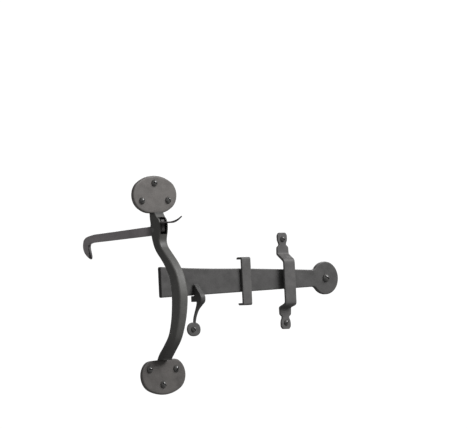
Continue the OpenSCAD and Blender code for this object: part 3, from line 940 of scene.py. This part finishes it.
@dataclass
class LatchBar:
    """Tapered bar with a round penny end.

    Args:
        node: the CAD node.
        end_h, neck_h: heights of the taper at the free end and at the penny's centre.
        penny_r: radius of the penny end.
        hollow_r: radius of the hollow between edge and penny.
        thickness: thickness of the bar.
        corner: radius of the corners of the free end.
        rim: radius of the front rim.
        sag: how far the hammer drew down the top edge near the free end.
        sag_share: share of the bar's length that sags.
        end_shade_width, end_shade_tone: width and lightness of the painted shade on the free end, whose face
            looks away from the light.
    """

    node: str = "latch_bar"
    end_h: float = 32.4
    neck_h: float = 16.8
    penny_r: float = 17.3
    hollow_r: float = 5.0
    thickness: float = 4.5
    corner: float = 1.8
    rim: float = 1.0
    sag: float = 0.8
    sag_share: float = 0.5
    end_shade_width: float = 0.7
    end_shade_tone: float = 0.3

    def upper_half(self, length: float) -> np.ndarray:
        """Upper half of the outline from the free end to the penny's tip, with the bar's end at x = 0."""
        slope = (self.neck_h - self.end_h) / 2 / length
        along = np.array([1.0, slope]) / math.hypot(1, slope)
        out = np.array([-along[1], along[0]])
        start, penny = np.array([0, self.end_h / 2]), np.array([length, 0.0])
        high, far = (penny - start) @ out, (penny - start) @ along
        reach = far - math.sqrt((self.penny_r + self.hollow_r) ** 2 - (self.hollow_r - high) ** 2)
        hollow = start + reach * along + self.hollow_r * out
        to_penny = (penny - hollow) / np.linalg.norm(penny - hollow)
        a0, a1 = math.atan2(-out[1], -out[0]), math.atan2(to_penny[1], to_penny[0])
        turn = np.linspace(a0, a1, 9)
        dip = hollow + self.hollow_r * circle(turn)
        b0 = math.atan2(*(dip[-1] - penny)[::-1])
        turn = np.linspace(b0, 0, 44)[1:]
        round_end = penny + self.penny_r * circle(turn)
        r = self.corner
        turn = np.radians(np.linspace(180, 90, 7))
        corner = np.array([r, self.end_h / 2 - r]) + r * circle(turn)
        edge_z = np.linspace(0, self.end_h / 2 - r, 11)[:-1]
        end = np.stack([edge_z * 0, edge_z], -1)
        x = np.linspace(r, dip[0, 0], 110)[1:-1]
        taper = np.stack([x, self.end_h / 2 + slope * x], -1)
        return np.concatenate([end, corner, taper, dip, round_end])

    def build(self, shop: Workshop) -> None:
        """Forges the bar between its free end and the penny's tip."""
        low, high = box_mm(self.node)
        middle_z = (low[2] + high[2]) / 2
        length = high[0] - self.penny_r - low[0]
        top = self.upper_half(length)
        bottom = top[-2:0:-1] * [1, -1]
        drawn = top.copy()
        part = np.clip(drawn[:, 0] / (length * self.sag_share), 0, 1)
        drawn[:, 1] -= self.sag * np.sin(np.pi * part) * (drawn[:, 1] > self.neck_h / 4)
        outline = np.concatenate([drawn, bottom])[::-1]
        spine = np.stack([np.clip(outline[:, 0], self.end_h / 2, length), outline[:, 1] * 0], -1)
        bar = slab(outline, spine, self.thickness, self.rim, 0.6, 21, 10.0, 0.14, rings_in=12)
        # painted shade on the free end's face, which looks away from the light
        bar = bar.toned(np.where(bar.points[:, 0] < self.end_shade_width, self.end_shade_tone, 1.0))
        bar = bar.shifted(np.array([low[0], high[1], middle_z]))
        shop.forge(self.node, bar, Slot.BAR, Body.BAR, 40.0)


@dataclass
class BarGuide:
    """Strap that stands off the door between two screw tabs.

    Args:
        node: the CAD node.
        crank: [outer Y, outer height, inner Y, inner height] from the upper tab's end to the strap's middle.
        low_crank: the same for the lower half, whose crank is steeper.
        plan: [half width, height] from the strap's middle to the tab's end.
    """

    node: str = "bar_guide"
    crank: tuple[tuple[float, float, float, float], ...] = (
        (-2.4, 50.8, 0.0, 50.8),
        (-2.4, 42.0, 0.0, 42.0),
        (-2.4, 31.0, 0.0, 30.6),
        (-2.5, 29.2, -0.1, 28.4),
        (-3.2, 28.1, -0.8, 26.9),
        (-6.65, 25.7, -4.9, 23.6),
        (-10.3, 23.2, -8.9, 20.4),
        (-11.7, 21.4, -9.65, 19.2),
        (-12.2, 18.6, -9.8, 17.8),
        (-12.2, 10.0, -9.8, 10.0),
        (-12.2, 0.0, -9.8, 0.0),
    )
    low_crank: tuple[tuple[float, float, float, float], ...] = (
        (-2.4, 50.8, 0.0, 50.8),
        (-2.4, 42.0, 0.0, 42.0),
        (-2.4, 31.0, 0.0, 30.4),
        (-2.5, 29.3, -0.1, 28.2),
        (-3.3, 28.2, -0.9, 27.0),
        (-6.7, 27.2, -5.0, 25.3),
        (-10.1, 26.2, -8.6, 23.8),
        (-11.6, 24.8, -9.6, 22.6),
        (-12.2, 22.2, -9.8, 21.0),
        (-12.2, 11.0, -9.8, 11.0),
        (-12.2, 0.0, -9.8, 0.0),
    )
    plan: tuple[tuple[float, float], ...] = (
        (7.55, 0.0),
        (7.5, 22.0),
        (7.85, 28.6),
        (7.6, 34.2),
        (7.1, 35.8),
        (5.6, 37.0),
        (4.85, 37.8),
        (5.1, 39.6),
        (6.3, 42.4),
        (6.55, 44.8),
        (6.5, 47.6),
        (5.6, 49.4),
        (4.2, 50.8),
    )

    def surface(self) -> Surface:
        """The upper half's lines and the lower half's, turned upside down, joined end to end."""
        upper = evenly(spline(np.array(self.crank), 7), 90)
        lower = evenly(spline(np.array(self.low_crank), 7), 90)[-2::-1] * [1, -1, 1, -1]
        line = np.concatenate([upper, lower])
        plan = spline(np.array(self.plan), 6)
        centre = (line[:, 1] + line[:, 3]) / 2
        half = np.interp(np.abs(centre), plan[:, 1], plan[:, 0])
        half = half + waver(np.linspace(0, 1, len(line)), 31, 0.15, 9)
        return strap(upright(line[:, 2:]), upright(line[:, :2]), half, 0.65, nose=0.5, wide=6, deep=1)

    def build(self, shop: Workshop) -> None:
        """Forges the guide on its node's place."""
        shop.forge(self.node, self.surface().shifted(seat_mm(self.node)), Slot.FITTING)


@dataclass
class DriveInStaple:
    """U-shaped staple over the bar.

    Args:
        node: the CAD node.
        thickness: thickness of the strap.
        bend_r: outer radius of the two bends.
        inner_r: inner radius of the two bends.
        bevel: chisel bevel of the leg ends.
    """

    node: str = "drive_in_staple"
    thickness: float = 2.4
    bend_r: float = 1.9
    inner_r: float = 0.5
    bevel: float = 0.8

    def build(self, shop: Workshop) -> None:
        """Bends the staple between its node's box corners."""
        low, high = box_mm(self.node)
        out, half = -low[1], (high[2] - low[2]) / 2
        arc = circle(np.radians(np.linspace(90, 180, 8))) + [1, -1]
        t, cut = self.thickness, self.bevel
        tip, bend = [[0, half - cut], [-cut, half]], [-out, half] + self.bend_r * arc
        outer = np.concatenate([tip, bend, [[-out, 0]]])
        tip, bend = [[0, half - t], [-cut, half - t]], [-out + t, half - t] + self.inner_r * arc
        inner = np.concatenate([tip, bend, [[-out + t, 0]]])
        steps = np.array([2, 6] + [1] * 7 + [14])
        spread = np.repeat(np.arange(len(steps)), steps) + np.concatenate([np.arange(s) / s for s in steps])
        spread = np.append(spread, len(steps))
        both = np.concatenate([outer, inner], axis=1)
        upper = np.stack([np.interp(spread, np.arange(len(both)), both[:, k]) for k in range(4)], -1)
        line = np.concatenate([upper, upper[-2::-1] * [1, -1, 1, -1]])
        half_w = (high[0] - low[0]) / 2 + waver(np.linspace(0, 1, len(line)), 41, 0.12, 6) - 0.1
        staple = strap(upright(line[:, 2:]), upright(line[:, :2]), half_w, 0.5, wide=6, deep=1)
        shop.forge(self.node, staple.shifted(seat_mm(self.node)), Slot.FITTING)


@dataclass
class Catch:
    """Hooked block for the bar on a curved stem that ends in an oval foot.

    Args:
        node: the CAD node.
        x: middle of the hook across the bar.
        foot_x, foot_z: centre of the foot.
        foot_w, foot_h, foot_t: sizes of the foot.
        body: [front reach, front height, back reach, back height, half width] down the hook and stem.
        ledge: [reach, top, bottom] of the ledge that the bar rests on, from the back to the hook.
        ledge_half: half of the ledge's width.
        oval: power of the foot's softened oval.
        tone_at: heights, and how light the coat is painted there: painted shade on the hook round the bar,
            lighter down the stem.
    """

    node: str = "catch"
    x: float = 47.6
    foot_x: float = 46.4
    foot_z: float = -141.4
    foot_w: float = 17.8
    foot_h: float = 14.7
    foot_t: float = 2.0
    body: tuple[tuple[float, float, float, float, float], ...] = (
        (6.95, -94.2, 6.4, -94.6, 3.2),
        (9.5, -97.3, 6.3, -98.5, 3.25),
        (13.0, -101.6, 6.15, -103.4, 3.25),
        (16.4, -106.0, 6.1, -108.0, 3.25),
        (17.4, -109.3, 8.0, -110.6, 3.25),
        (16.6, -113.4, 9.4, -113.0, 3.2),
        (12.8, -116.8, 8.2, -116.2, 2.6),
        (8.4, -120.8, 5.4, -121.0, 2.0),
        (5.6, -124.8, 2.6, -126.2, 1.65),
        (3.2, -130.2, 0.6, -131.0, 1.45),
        (2.2, -134.6, 0.05, -135.0, 1.35),
        (2.0, -137.0, 0.05, -137.0, 1.5),
    )
    ledge: tuple[tuple[float, float, float], ...] = (
        (1.0, -106.6, -112.8),
        (6.0, -106.6, -112.9),
        (11.0, -107.0, -112.6),
    )
    ledge_half: float = 3.2
    oval: float = 2.2
    tone_at: tuple[tuple[float, ...], tuple[float, ...]] = ((-124.0, -112.0), (0.92, 0.58))

    def foot(self) -> Surface:
        """Oval foot, a softened oval whose radius follows |cos| and |sin| to the oval's power."""
        angle = np.linspace(0, 2 * np.pi, 96, endpoint=False)
        shares = np.abs(circle(angle) * 2 / [self.foot_w, self.foot_h]) ** self.oval
        line = shares.sum(axis=1, keepdims=True) ** (-1 / self.oval) * circle(angle)
        foot = slab(line, line * 0.0, self.foot_t, 0.8, 0.3, 51, 5.0, 0.08, rings_in=8)
        return foot.shifted(np.array([self.foot_x, 0, self.foot_z]))

    def build(self, shop: Workshop) -> None:
        """Forges hook, stem, ledge and foot as one piece."""
        body = spline(np.array(self.body), 6)
        near, far = (upright(body[:, k : k + 2] * [-1, 1], self.x) for k in (2, 0))
        hook = strap(near, far, body[:, 4], 0.55, wide=3, deep=3)
        step = spline(np.array(self.ledge), 6)
        lower, upper = (upright(step[:, [0, k]] * [-1, 1], self.x) for k in (2, 1))
        half = np.full(len(step), self.ledge_half)
        ledge = strap(lower, upper, half, 0.5, nose=0.4, wide=3, deep=3)
        whole = joined([hook, ledge, self.foot()])
        # painted shade on the hook, fading out down the stem
        shop.forge(self.node, whole.toned(np.interp(whole.points[:, 2], *self.tone_at)), Slot.FITTING)


@dataclass
class ScrewSize:
    """Sizes of one kind of domed wood screw.

    Args:
        head_d, shank_d, thread_d: diameters.
        length: length under the head.
        pitch: rise of the thread in one turn.
        head_share: height of the dome, of the head's diameter.
        slot_w, slot_deep: sizes of the driver slot.
        thread_start: distance behind the door face where the thread begins.
        thread_deep: depth of the thread.
        fade: length over which the shank turns into thread.
    """

    head_d: float
    shank_d: float
    thread_d: float
    length: float
    pitch: float
    head_share: float = 0.4
    slot_w: float = 1.2
    slot_deep: float = 1.1
    thread_start: float = 0.5
    thread_deep: float = 0.5
    fade: float = 0.8

    def head(self, under: float) -> Surface:
        """Dome on a thin rolled rim, and its flat underside."""
        h, r = self.head_d * self.head_share, self.head_d / 2
        dome_r = (r * r + h * h) / (2 * h)
        rise = np.linspace(0, 1, 14) * math.asin(min(1.0, r / dome_r)) * 0.985
        dome = np.stack([dome_r * np.sin(rise), -under - h + dome_r * (1 - np.cos(rise))], -1)
        rim = np.array([[r, -0.35], [r, -0.15], [r - 0.15, 0], [0.5 * r, 0], [0, 0]]) - [0, under]
        profile = np.concatenate([dome, rim])
        worn = np.concatenate([np.zeros(12), [0.4, 0.8], [1, 0.6, 0.2, 0, 0]])
        return lathe(profile, worn, 48)

    def stem(self, under: float) -> Surface:
        """Shank and thread: radius = core + depth * ridge(height / pitch - angle), faded into shank and point."""
        end = self.length - under
        rows, columns = 150, 40
        shank = np.linspace(-under, self.thread_start, 6)
        y = np.concatenate([[-under - 0.3], shank, np.linspace(self.thread_start + 0.05, end, rows)])[:, None]
        angle = np.arange(columns) * 2 * np.pi / columns
        phase = (y / self.pitch - angle / (2 * np.pi)) % 1
        ridge = np.clip(1 - np.abs(phase - 0.5) * 3.2, 0, 1)
        threaded = self.thread_d / 2 - self.thread_deep * (1 - ridge)
        blend = np.clip((y - self.thread_start) / self.fade, 0, 1)
        radius = self.shank_d / 2 * (1 - blend) + threaded * blend
        point = np.clip((end - y) / (1.4 * self.thread_d), 0, 1) ** 0.75
        radius = np.minimum(radius, radius * point + 0.02)
        radius[0] = radius[-1] = 0
        return rings_surface(spun(radius, y, angle), np.zeros(radius.shape), capped=False)


class ScrewKind(Enum):
    """The three kinds of screw in the set."""

    PLATE = ScrewSize(7.4, 4.4, 4.0, 14.3, 1.5)
    SMALL = ScrewSize(6.2, 3.6, 3.2, 9.5, 1.2)
    PIVOT = ScrewSize(8.4, 5.2, 4.8, 19.0, 1.8)


@dataclass
class WoodScrew:
    """One domed, slotted wood screw.

    Args:
        node: the CAD node.
        kind: which of the three sizes.
        under: how far in front of the door the underside of the head lies.
        slot_deg: turn of the driver slot.
    """

    node: str
    kind: ScrewKind
    under: float
    slot_deg: float

    def build(self, shop: Workshop) -> None:
        """Turns the screw, cuts its slot and drives it in at its node's place."""
        size, at = self.kind.value, seat_mm(self.node)
        top = -self.under - size.head_d * size.head_share
        c, s = math.cos(math.radians(self.slot_deg)), math.sin(math.radians(self.slot_deg))
        turn = np.array([[c, 0, s], [0, 1, 0], [-s, 0, c]])
        piece = mesh_object(self.node + "_turned", size.head(self.under).moved(turn, at), 45.0)
        above, floor, wall = top - 1, top + size.slot_deep, size.slot_w / 2
        slot = block(((above, -wall), (floor, -wall), (floor, wall), (above, wall)), size.head_d)
        cut_away(piece, slot.moved(turn, at), 40.0)
        add_to(piece, size.stem(self.under).moved(turn, at), 40.0)
        shop.deliver(piece, Slot.SCREW, Body.FIXED, self.node)


@dataclass
class RivetedPin:
    """Pivot pin riveted through both cheeks of the neck.

    Args:
        node: the CAD node.
        proud: how far each riveted end stands out.
        spread: how much wider the riveted end is than the pin.
    """

    node: str = "lever_pivot_pin"
    proud: float = 0.3
    spread: float = 0.35

    def build(self, shop: Workshop) -> None:
        """A turned pin laid along X, with a low dome at each end."""
        low, high = box_mm(self.node)
        r, half = (high[2] - low[2]) / 2, (high[0] - low[0]) / 2
        rise = np.linspace(0, 1, 7)
        wide = r + self.spread
        dome = [0, half] + [wide, self.proud] * circle(rise * np.pi / 2)[:, ::-1]
        right = np.concatenate([dome, [[wide, half - 0.05], [r, half - 0.3]]])
        profile = np.concatenate([right, right[::-1] * [1, -1]])
        pin = lathe(profile, np.zeros(len(profile)), 40)
        lay = np.array([[0.0, 1, 0], [1, 0, 0], [0, 0, 1]])
        piece = mesh_object(self.node + "_riveted", pin.moved(lay, (low + high) / 2), 40.0)
        shop.deliver(piece, Slot.SCREW, Body.FIXED, self.node)


@dataclass
class Washer:
    """Thin washer between the bar and the door.

    Args:
        node: the CAD node.
        bore_r: radius of its hole.
    """

    node: str = "bar_washer"
    bore_r: float = 2.8

    def build(self, shop: Workshop) -> None:
        """A ring whose section is a rounded rectangle carried once round the axis."""
        low, high = box_mm(self.node)
        seat, out, worn = corner_section(4, 3, 0)
        half_w, half_t, r = (high[0] - low[0]) / 4 - self.bore_r / 2, (high[1] - low[1]) / 2, 0.2
        middle = (high[0] - low[0]) / 4 + self.bore_r / 2
        radius = middle + seat[:, 0] * (half_w - r) + out[:, 0] * r
        y = (low[1] + high[1]) / 2 + seat[:, 1] * (half_t - r) + out[:, 1] * r
        angle = np.linspace(0, 2 * np.pi, 65)[:, None]
        ring = rings_surface(spun(radius, y, angle), np.tile(worn, (len(angle), 1)), capped=False)
        piece = mesh_object(self.node + "_pressed", ring.shifted(seat_mm(self.node)))
        shop.deliver(piece, Slot.SCREW, Body.FIXED, self.node)


# ---------------------------------------------------------------- studio


@dataclass
class Studio:
    """Pale floor, soft lights and the camera.

    Args:
        azimuth_deg, elevation_deg, roll_deg: the camera's direction and lean.
        distance: how far away the camera stands, in metres.
        view_width: width that the picture takes in at the object, in metres.
        plate_half: half of the upper plate's full height, in metres.
        aim_across, aim_up: where the camera aims, from the upper plate's centre, in metres.
        floor_below, floor_r: how far below the object the floor lies, and its radius, in metres.
        floor_glow: even light that keeps the floor pale far from the lamps.
        sky_light, sky_seen: strength of the surroundings on the object and as a backdrop.
        lamps: [name, direction, distance, size, power] of each soft lamp, in metres and watts.
    """

    azimuth_deg: float = -40.0
    elevation_deg: float = -1.5
    roll_deg: float = 2.6
    distance: float = 16.0
    view_width: float = 0.4914
    plate_half: float = 0.02
    aim_across: float = 0.0837
    aim_up: float = -0.02395
    floor_below: float = 0.2
    floor_r: float = 12.0
    floor_glow: float = 0.62
    sky_light: float = 0.2
    sky_seen: float = 1.05
    lamps: tuple[tuple[str, tuple[float, float, float], float, float, float], ...] = (
        ("key", (0.5, -0.7, 0.62), 1.6, 1.0, 24.0),
        ("fill", (-0.9, -0.5, 0.25), 2.0, 1.2, 1.2),
        ("rim", (0.7, 0.6, 0.5), 1.8, 0.8, 7.0),
        ("back", (0.35, 1.0, 0.3), 1.8, 1.0, 12.0),
    )

    def axes(self) -> tuple[Vector, Vector, Vector]:
        """The camera's right, up and backward directions."""
        az, el, roll = (math.radians(a) for a in (self.azimuth_deg, self.elevation_deg, self.roll_deg))
        right = Vector((math.cos(az), math.sin(az), 0))
        level = Vector((math.sin(az), -math.cos(az), 0))
        back = level * math.cos(el) + Vector((0, 0, 1)) * math.sin(el)
        up = back.cross(right)
        return right * math.cos(roll) - up * math.sin(roll), up * math.cos(roll) + right * math.sin(roll), back

    def camera(self) -> None:
        """Stands the camera at the object's viewing angle."""
        low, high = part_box("upper_bean_plate")
        centre = Vector(((low.x + high.x) / 2, high.y, high.z - self.plate_half))
        az = math.radians(self.azimuth_deg)
        flat_right = Vector((math.cos(az), math.sin(az), 0))
        right, up, back = self.axes()
        flat_up = back.cross(flat_right)
        depth = self.aim_across * math.tan(az)
        aim = centre + flat_right * self.aim_across + flat_up * self.aim_up + back * depth
        data = bpy.data.cameras.new("camera")
        data.sensor_width = 36.0
        data.lens = 36.0 * self.distance / self.view_width
        data.clip_end = 200.0
        camera = put("camera", data)
        turn = Matrix((right, up, back)).transposed().to_4x4()
        camera.matrix_world = Matrix.Translation(aim + back * self.distance) @ turn
        bpy.context.scene.camera = camera

    def lamp(self, name: str, way: tuple[float, float, float], far: float, size: float, power: float) -> None:
        """Adds one square soft lamp that faces the object from a direction."""
        low, high = (Vector(c) for c in CAD_BOX)
        middle = (low + high) / 2
        data = bpy.data.lights.new(name, "AREA")
        data.shape, data.size, data.energy = "SQUARE", size, power
        lamp = put(name, data)
        toward = Vector(way).normalized()
        lamp.location = middle + toward * far
        lamp.rotation_euler = toward.to_track_quat("Z", "Y").to_euler()

    def floor(self) -> None:
        """A wide pale floor below the object."""
        level = Vector(CAD_BOX[0]).z - self.floor_below
        rim = np.insert(circle(np.linspace(0, 2 * np.pi, 64, endpoint=False)) * self.floor_r, 2, level, axis=1)
        mesh = bpy.data.meshes.new("floor")
        mesh.from_pydata(rim.tolist(), [], [list(range(64))])
        floor = put("floor", mesh)
        n = Nodes("floor_paint")
        place = ("Vector", n.add("ShaderNodeTexCoord").outputs["Object"])
        speck = n.add("ShaderNodeTexNoise", place, Scale=8.0, Detail=3.0).outputs["Fac"]
        paint = n.ramp(speck, (0.0, (0.86, 0.86, 0.855)), (1.0, (0.9, 0.9, 0.895)))
        glow = {"Emission_Color": (1, 1, 0.99, 1), "Emission_Strength": self.floor_glow}
        mesh.materials.append(n.dress(Base_Color=paint, Roughness=0.8, **glow))
        floor.visible_diffuse = floor.visible_glossy = False

    def sky(self) -> None:
        """White surroundings for the camera, and a dimmer even light on the object."""
        world = bpy.data.worlds.new("studio")
        world.use_nodes = True
        tree = world.node_tree
        seen = tree.nodes.new("ShaderNodeLightPath")
        level = tree.nodes.new("ShaderNodeMapRange")
        level.inputs["To Min"].default_value = self.sky_light
        level.inputs["To Max"].default_value = self.sky_seen
        tree.links.new(seen.outputs["Is Camera Ray"], level.inputs["Value"])
        backdrop = tree.nodes["Background"]
        backdrop.inputs["Color"].default_value = (1, 1, 1, 1)
        tree.links.new(level.outputs["Result"], backdrop.inputs["Strength"])
        bpy.context.scene.world = world

    def build(self) -> None:
        """Sets up camera, floor, lamps and surroundings."""
        self.camera()
        self.floor()
        self.sky()
        for lamp in self.lamps:
            self.lamp(*lamp)
        scene = bpy.context.scene
        scene.view_settings.view_transform = "Standard"
        scene.view_settings.look = "None"


def main() -> None:
    """Builds the set piece by piece and then the studio."""
    logging.basicConfig(level=logging.INFO, format="%(message)s")
    shop = Workshop()
    # the upper plate is painted lighter and the lower darker: painted light and shade from a light above
    BeanPlate("upper_bean_plate", Cut.BELOW, 18.9, 16.0, 0.0, 1, 1.09).build(shop)
    BeanPlate("lower_bean_plate", Cut.ABOVE, 16.0, 17.0, 3.5, 2, 0.84).build(shop)
    HandleGrip().build(shop)
    ThumbLever().build(shop)
    RivetedPin().build(shop)
    LatchBar().build(shop)
    Washer().build(shop)
    BarGuide().build(shop)
    DriveInStaple().build(shop)
    Catch().build(shop)
    turns = (20.0, -35.0, 60.0, 10.0, -60.0, 35.0)
    places = ("upper_top", "upper_left", "upper_right", "lower_left", "lower_right", "lower_bottom")
    for place, turn in zip(places, turns):
        WoodScrew("screw_" + place, ScrewKind.PLATE, 3.6, turn).build(shop)
    WoodScrew("screw_guide_top", ScrewKind.SMALL, 2.4, 25.0).build(shop)
    WoodScrew("screw_guide_bottom", ScrewKind.SMALL, 2.4, -40.0).build(shop)
    WoodScrew("screw_catch", ScrewKind.SMALL, 2.0, 50.0).build(shop)
    WoodScrew("bar_pivot_screw", ScrewKind.PIVOT, 5.55, 35.0).build(shop)
    Studio().build()


if __name__ == "__main__":
    main()
